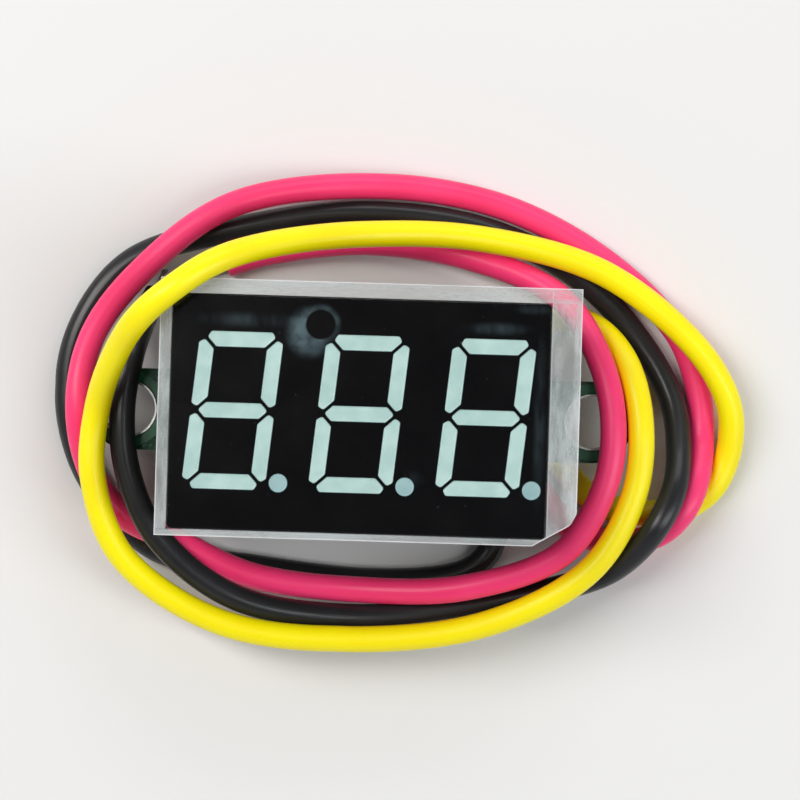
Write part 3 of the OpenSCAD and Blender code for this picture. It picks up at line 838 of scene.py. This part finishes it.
CORNER_R = 0.35
SEGMENT_CORNER = 0.2
WALL = 0.8
WINDOW_GAP = 0.02                    # a window is this much wider than its epoxy
BASE_TOP = span("display_base")[1].z
FACE_EDGE = 0.1                      # the rounding of the face's rim
EPOXY_NODES = ["digit_1_segments", "digit_2_segments", "digit_3_segments", "decimal_points"]


def rectangle(half_x, half_y, radius, x=0.0, y=0.0):
    corners = [(x - half_x, y - half_y), (x + half_x, y - half_y),
               (x + half_x, y + half_y), (x - half_x, y + half_y)]
    return rounded(corners, radius, 6)


def epoxy_outlines(node):
    return [rounded(outline, SEGMENT_CORNER) if len(outline) < 12 else outline
            for outline in top_outlines(node)]


def add_housing():
    """Block with a window for each segment, and a recess behind for the potted base."""
    ceiling = BASE_TOP + WINDOW_GAP
    rim = rectangle(HALF_L, HALF_W, CORNER_R)
    recess = rectangle(HALF_L - WALL, HALF_W - WALL, 0.05)
    windows = [inset(turned(outline, False), WINDOW_GAP)
               for node in EPOXY_NODES for outline in epoxy_outlines(node)]
    face = [(0.0, ceiling), (0.0, FACE_Z - FACE_EDGE), (0.03, FACE_Z - 0.03), (FACE_EDGE, FACE_Z)]
    block = plate([rim] + windows, face, 0.12, [recess] + windows)
    skirt = plate([rim, recess], [(0.04, house_low.z), (0.0, house_low.z + 0.04), (0.0, ceiling)])
    low_side = [f for f in skirt[1] if not all(skirt[0][v][2] == ceiling for v in f)]
    add_piece("display_block", merge([block, (skirt[0], low_side)]), HOUSING,
              "black_housing", "display_housing")


def add_epoxy(node, name):
    """Epoxy in the windows: round corners, and a top that dips a little from its rim."""
    profile = [(0.0, BASE_TOP), (0.0, FACE_Z - 0.06), (0.012, FACE_Z - 0.02), (0.035, FACE_Z),
               (0.06, FACE_Z - 0.004), (0.09, FACE_Z - 0.014)]
    parts = [plate([outline], profile) for outline in epoxy_outlines(node)]
    material = POINT_EPOXY if node == "decimal_points" else EPOXY
    add_piece(name, merge(parts), material, "segment_epoxy", node)


def add_display():
    add_housing()
    dress("display_base", "potted_base", BASE_EPOXY, 0.05, "base_epoxy")
    for node in EPOXY_NODES:
        add_epoxy(node, node.replace("segments", "epoxy").replace("points", "point_epoxy"))


FILM_GAP = 0.01                      # between the face and the film
BUBBLE_HEIGHT = 0.035
FILM_COLUMNS = 150
FILM_ROWS = 90


def film_limit(y):
    """X of the film's right edge at a height: its lower corner is cut."""
    up = y - film_low.y
    if up < FILM_STEP_Y:
        return film_high.x - FILM_CUT_X + (FILM_CUT_X - FILM_NICK) * up / FILM_STEP_Y
    if up < FILM_CUT_Y:
        share = (up - FILM_STEP_Y) / (FILM_CUT_Y - FILM_STEP_Y)
        return film_high.x - FILM_NICK * (1 - share)
    return film_high.x


def film_lift(x, y):
    """Height over the face: nearly flat on it, with the bubble, and waving where it overhangs."""
    over = max(abs(x) - HALF_L, abs(y) - HALF_W, 0.0)
    wave = noise.noise(Vector((x * 0.55, y * 0.3, 3.0)))
    lift = FILM_GAP + over * (0.09 * wave - 0.03) - 0.04 * max(0.0, x - HALF_L) ** 2
    near = 1 - ((Vector((x, y)) - BUBBLE).length / BUBBLE_R) ** 2
    return lift + BUBBLE_HEIGHT * max(0.0, near) ** 1.5


def evenly(low, high, count):
    return [low + (high - low) * i / count for i in range(count + 1)]


def add_film():
    """Thin sheet with a cut corner, pressed on the face and free round it."""
    thick = (film_high.z - film_low.z) * 0.75
    xs = evenly(film_low.x, film_high.x, FILM_COLUMNS)
    ys = evenly(film_low.y, film_high.y, FILM_ROWS)
    points = []
    for layer in (0, 1):
        for y in ys:
            for x in xs:
                x = min(x, film_limit(y))
                points.append((x, y, FACE_Z + film_lift(x, y) + thick * layer))
    row, layer_size = len(xs), len(xs) * len(ys)
    faces = []
    for j in range(len(ys) - 1):
        for i in range(len(xs) - 1):
            a = j * row + i
            quad = [a, a + 1, a + row + 1, a + row]
            faces += [[v + layer_size for v in quad], quad[::-1]]
    bottom = list(range(row))
    top = list(range(layer_size - 1, layer_size - 1 - row, -1))
    right = [j * row + row - 1 for j in range(1, len(ys) - 1)]
    left = [j * row for j in range(len(ys) - 2, 0, -1)]
    loop = bottom + right + top + left
    faces += [[a, b, b + layer_size, a + layer_size] for a, b in zip(loop, loop[1:] + loop[:1])]
    film = add_piece("face_film", (points, faces), FILM, "clear_film", "protective_film")
    for face in film.data.polygons:
        face.use_smooth = True


# ---------- main board ----------

PIN_PITCH = 2.54
PIN_ROW = 5.08
PIN_R = 0.25
PIN_HOLE_R = 0.39
JOINT_R = 0.82                       # foot of the solder round a pin
JOINT_NECK = 0.265
JOINT_BORE = 0.262
RING_BORE_R = HOLE_R + 0.2
PINS = ([(i * PIN_PITCH, PIN_ROW) for i in (-2.5, -1.5, -0.5, 0.5, 1.5, 2.5)]
        + [(i * PIN_PITCH, -PIN_ROW) for i in (-2.5, -1.5, -0.5, 0.5, 1.5)])


def add_board():
    """Board with a round-ended ear at each short end, and its holes."""
    right = arc(EAR_X, 0, EAR_R, -90, 90, 40)
    half = [(HALF_L, -HALF_W), (HALF_L, -EAR_R)] + right + [(HALF_L, EAR_R), (HALF_L, HALF_W)]
    rim = half + [(-x, y) for x, y in reversed(half)]
    holes = [circle(side * EAR_X, 0, HOLE_R) for side in (-1, 1)]
    holes += [circle(x, y, PIN_HOLE_R, 24) for x, y in PINS]
    add_piece("circuit_board", plate([rim] + holes, round_edges(BOARD_Z, BOARD_TOP, 0.03)), MASK,
              "solder_mask", "main_board")


def add_rings():
    """Copper ring under the mask on each side of each ear, and the bare lip of each hole."""
    outer = ring_high.x - EAR_X
    rings, lips = [], []
    for side in (-1, 1):
        for low, high in ((ring_low.z, BOARD_Z + 0.01), (BOARD_TOP - 0.01, ring_high.z)):
            edge = [circle(side * EAR_X, 0, outer), circle(side * EAR_X, 0, RING_BORE_R)]
            rings.append(plate(edge, round_edges(low, high, 0.02)))
            lip = [circle(side * EAR_X, 0, HOLE_R + 0.13), circle(side * EAR_X, 0, HOLE_R + 0.01)]
            lips.append(plate(lip, round_edges(low + 0.01, high - 0.01, 0.008)))
    add_piece("ear_rings_masked", merge(rings), TRACK, "masked_copper", "ear_rings")
    add_piece("ear_hole_lips", merge(lips), TIN, "tinned_lead")


def add_pins():
    """Round pins with a tapered tip."""
    low, high = span("display_pins")
    profile = [(0, low.z), (PIN_R * 0.4, low.z + 0.01), (PIN_R * 0.82, low.z + 0.07),
               (PIN_R, low.z + 0.16), (PIN_R, high.z), (0, high.z)]
    add_piece("pin_set", lathe(PINS, profile, 24), PIN, "tinned_pin", "display_pins")


def add_pin_solder():
    """Solder that fills each pin's hole and climbs the pin in a hollow fillet."""
    def wobble(px, py, angle, radius):
        if radius < PIN_HOLE_R:
            return 1.0
        return 1 + 0.05 * noise.noise(Vector((px + math.cos(angle), py + math.sin(angle), radius)))

    inside = PIN_HOLE_R - 0.01
    profile = [(JOINT_BORE, BOARD_TOP - 0.02), (inside, BOARD_TOP - 0.02), (inside, BOARD_Z - 0.004),
               (JOINT_R, BOARD_Z - 0.002), (JOINT_R - 0.01, BOARD_Z - 0.04)]
    for i in range(1, 13):
        t = i / 12
        profile.append((JOINT_NECK + 0.535 * (1 - t) ** 2.4, BOARD_Z - t))
    profile.append((JOINT_BORE, BOARD_TOP - 0.02))
    add_piece("pin_solder", lathe(PINS, profile, 28, wobble), SOLDER, "solder", "pin_solder_joints")


# ---------- parts under the board ----------

LEAD_PITCH = 0.65
PAD_BEHIND = 1.25                    # from the end of the insulation to the middle of its pad
HEAP_R = 0.74                        # the solder heap over the end of a wire
HEAP_SINK = 0.05
HEAP_DROP = 1.68
TRACK_WIDTH = 0.24
INK_WIDTH = 0.12
INK_GAP = 0.17
VIAS = [(-7.4, 3.3), (-7.3, -3.4), (-0.2, -4.4), (2.9, -6.4), (7.4, -5.0), (9.7, -5.9),
        (-11.9, 1.9), (-2.6, -4.4)]

# Each part that keeps its CAD shape: node, piece, material, rounding of its edges, slot
SMALL_PARTS = [
    ("microcontroller_body", "microcontroller_case", MOULDED, 0.05, "moulded_black"),
    ("microcontroller_leads", "microcontroller_legs", TIN, 0.025, "tinned_lead"),
    ("regulator_body", "regulator_case", MOULDED, 0.06, "moulded_black"),
    ("regulator_leads", "regulator_legs", TIN, 0.04, "tinned_lead"),
    ("diode_body", "diode_case", MOULDED, 0.05, "moulded_black"),
    ("diode_terminals", "diode_legs", TIN, 0.03, "tinned_lead"),
    ("chip_resistors", "resistor_bodies", GLAZE, 0.03, "resistor_glaze"),
    ("resistor_end_caps", "resistor_caps", CAP, 0.05, "end_cap"),
    ("chip_capacitors", "capacitor_bodies", CERAMIC, 0.05, "capacitor_ceramic"),
    ("capacitor_end_caps", "capacitor_caps", CAP, 0.06, "end_cap"),
    ("trimmer_base", "trimmer_seat", TRIM_BASE, 0.05, "trimmer_ceramic"),
    ("trimmer_terminals", "trimmer_legs", TIN, 0.03, "tinned_lead"),
    ("trimmer_rotor", "trimmer_dial", ROTOR, 0.03, "rotor_metal", "rotor")]


def pad_places():
    """The middle of each wire's pad, in line behind the wire's end."""
    places = []
    for route in (YELLOW_ROUTE, RED_ROUTE, BLACK_ROUTE):
        first, second = Vector(route[0]), Vector(route[1])
        heading = Vector((second.x - first.x, second.y - first.y, 0)).normalized()
        places.append(first - heading * PAD_BEHIND)
    return places


def add_wire_joints():
    """Solder heaped over the end of each wire on its pad."""
    dress("wire_pads", "wire_solder_pads", PAD, 0.01, "tinned_pad")
    foot = BOARD_Z - HEAP_SINK
    profile = [(0, foot), (HEAP_R, foot)]
    for i in range(1, 14):
        t = i / 14
        reach = (HEAP_R - 0.02) * math.cos(t * math.pi / 2) ** 0.6
        profile.append((reach, foot - HEAP_DROP * t ** 1.1))
    profile.append((0, foot - HEAP_DROP))

    def heap(px, py, angle, radius):
        spot = Vector((px * 3 + math.cos(angle), py + math.sin(angle), radius * 2))
        return 1 + 0.06 * noise.noise(spot)

    places = [(p.x, p.y) for p in pad_places()]
    add_piece("wire_solder", lathe(places, profile, 40, heap), SOLDER, "solder",
              "wire_solder_joints")


def lead_x(index):
    """X of a lead of the microcontroller, counted from the middle of its row."""
    low, high = span("microcontroller_leads")
    return (low.x + high.x) / 2 + index * LEAD_PITCH


def chip_tracks():
    """From the display's pins to the chip's leads, and between the small parts."""
    leads = span("microcontroller_leads")[1].y
    run = PIN_ROW - 0.78
    lines = []
    for side in (-1, 1):
        for pin, lead in ((-1.5, -2.5), (-0.5, -0.5), (0.5, 2.5)):
            x, end = pin * PIN_PITCH, lead_x(lead)
            lines.append([(x, side * PIN_ROW), (x, side * run), (end, side * (leads + 0.3)),
                          (end, side * (leads - 0.2))])
        x, end = -2.5 * PIN_PITCH, lead_x(-4.5)
        lines.append([(x, side * PIN_ROW), (x + 0.75, side * run), (end - 0.7, side * run),
                      (end, side * (leads + 0.4)), (end, side * (leads - 0.2))])
    pin, end = 1.5 * PIN_PITCH, lead_x(4.5)
    lines.append([(pin, PIN_ROW), (pin, run), (end, leads + 0.3), (end, leads - 0.2)])
    spare = span("chip_capacitors")[1].x + 0.1
    lines.append([(pin, -PIN_ROW), (spare, 0.4 - PIN_ROW), (spare, 1.2 - PIN_ROW)])
    lines.append([(end, 1.4 - PIN_ROW), (end, 0.2 - leads)])
    column = span("chip_resistors")[1].x
    for y in (-2.1, -0.7, 0.7, 2.1):
        lines.append([(column, y), (column + 0.9, y), (column + 1.3, y * 0.8)])
    trimmer_x = span("trimmer_base")[1].x
    for y in (-2.1, 2.1):
        lines.append([(trimmer_x - 0.6, y), (column - 1.2, y)])
    return lines


def wire_tracks():
    """From the three wires' pads, round the diode and along both edges of the board."""
    yellow, red, black = pad_places()
    low, high = span("diode_terminals")
    middle = (low.y + high.y) / 2
    upper, reach = PIN_ROW + 1.32, HALF_L - 2.6
    return [
        [(red.x, red.y), (high.x + 0.4, middle), (high.x - 0.2, middle)],
        [(low.x + 0.2, middle), (low.x - 0.2, middle + 0.5), (low.x - 0.2, middle + 1.9),
         (low.x + 0.2, middle + 2.4)],
        [(yellow.x, yellow.y), (reach - 0.9, yellow.y + 0.8), (reach - 0.9, upper - 0.6),
         (reach - 1.5, upper), (1.4 - reach, upper), (-reach, upper - 1.4), (-reach, upper - 1.9)],
        [(black.x, black.y), (black.x - 0.5, -upper), (1.4 - reach, -upper), (-reach, 0.9 - upper)]]


def add_tracks():
    """Copper tracks and small vias under the mask."""
    tracks = [plate([stroke(line, TRACK_WIDTH)], round_edges(BOARD_Z - 0.03, BOARD_Z + 0.01, 0.015))
              for line in chip_tracks() + wire_tracks()]
    for x, y in VIAS:
        ring = [circle(x, y, 0.34, 24), circle(x, y, 0.16, 24)]
        tracks.append(plate(ring, round_edges(BOARD_Z - 0.035, BOARD_Z + 0.01, 0.015)))
    add_piece("board_tracks", merge(tracks), TRACK, "masked_copper")


def add_ink():
    """White lines beside the larger parts and a spot by the chip, printed on the board."""
    outlines = []
    for node, sideways in (("microcontroller_body", True), ("trimmer_base", True),
                           ("regulator_body", False), ("diode_body", False)):
        low, high = span(node)
        for edge, out in ((low, -INK_GAP), (high, INK_GAP)):
            if sideways:
                bar = [(edge.x + out, low.y), (edge.x + out, high.y)]
            else:
                bar = [(low.x, edge.y + out), (high.x, edge.y + out)]
            outlines.append(stroke(bar, INK_WIDTH))
    corner = span("microcontroller_body")[0]
    outlines.append(circle(corner.x - 0.1, -corner.y + 0.45, 0.13, 24))
    layer = round_edges(BOARD_Z - 0.012, BOARD_Z + 0.01, 0.005, 1)
    ink = [plate([outline], layer) for outline in outlines]
    add_piece("board_ink", merge(ink), SILK, "base_epoxy")


add_display()
add_film()
add_board()
add_rings()
add_pins()
add_pin_solder()
for small_part in SMALL_PARTS:
    dress(*small_part)
add_wire_joints()
add_tracks()
add_ink()


# ---------- floor and lights ----------

FLOOR_HALF = 0.6
FLOOR_DROP = 0.00002
LAMP_AIM = Vector((0, 0, 0.005))


def add_floor():
    corners = [(x * FLOOR_HALF, y * FLOOR_HALF, 0) for x, y in ((-1, -1), (1, -1), (1, 1), (-1, 1))]
    mesh = bpy.data.meshes.new("floor")
    mesh.from_pydata(corners, [], [(0, 1, 2, 3)])
    floor = new_object("floor", mesh, make_floor())
    floor.location.z = -FLOOR_DROP


def add_light(name, size, power, place_at, tint):
    """A rectangular lamp that looks at the module."""
    data = bpy.data.lights.new(name, "AREA")
    data.shape = "RECTANGLE"
    data.size, data.size_y = size
    data.energy = power
    data.color = tint
    light = bpy.data.objects.new(name, data)
    light.location = place_at
    light.rotation_euler = (LAMP_AIM - Vector(place_at)).to_track_quat("-Z", "Y").to_euler()
    bpy.context.scene.collection.objects.link(light)


def make_sky():
    """A plain studio: pale walls all round and a dark ceiling."""
    world = bpy.data.worlds.new("studio")
    bpy.context.scene.world = world
    world.use_nodes = True
    shade = Shade(world.node_tree)
    direction = shade.node("ShaderNodeTexCoord").outputs["Generated"]
    strength = shade.span(shade.height(direction), 0.55, 0.93, 0.5, 0.015)
    background = world.node_tree.nodes["Background"]
    shade.feed(background, Color=(0.93, 0.96, 1.0), Strength=strength)


def add_lights():
    add_light("key", (0.1, 0.3), 0.95, (-0.19, 0.1, 0.3), (1.0, 0.98, 0.95))
    add_light("fill", (0.1, 0.3), 0.5, (0.2, -0.06, 0.26), (0.95, 0.98, 1.0))
    add_light("back", (0.3, 0.08), 0.25, (0.05, 0.3, 0.2), (1.0, 1.0, 1.0))
    make_sky()


bpy.context.scene.view_settings.view_transform = "Standard"
add_floor()
add_lights()
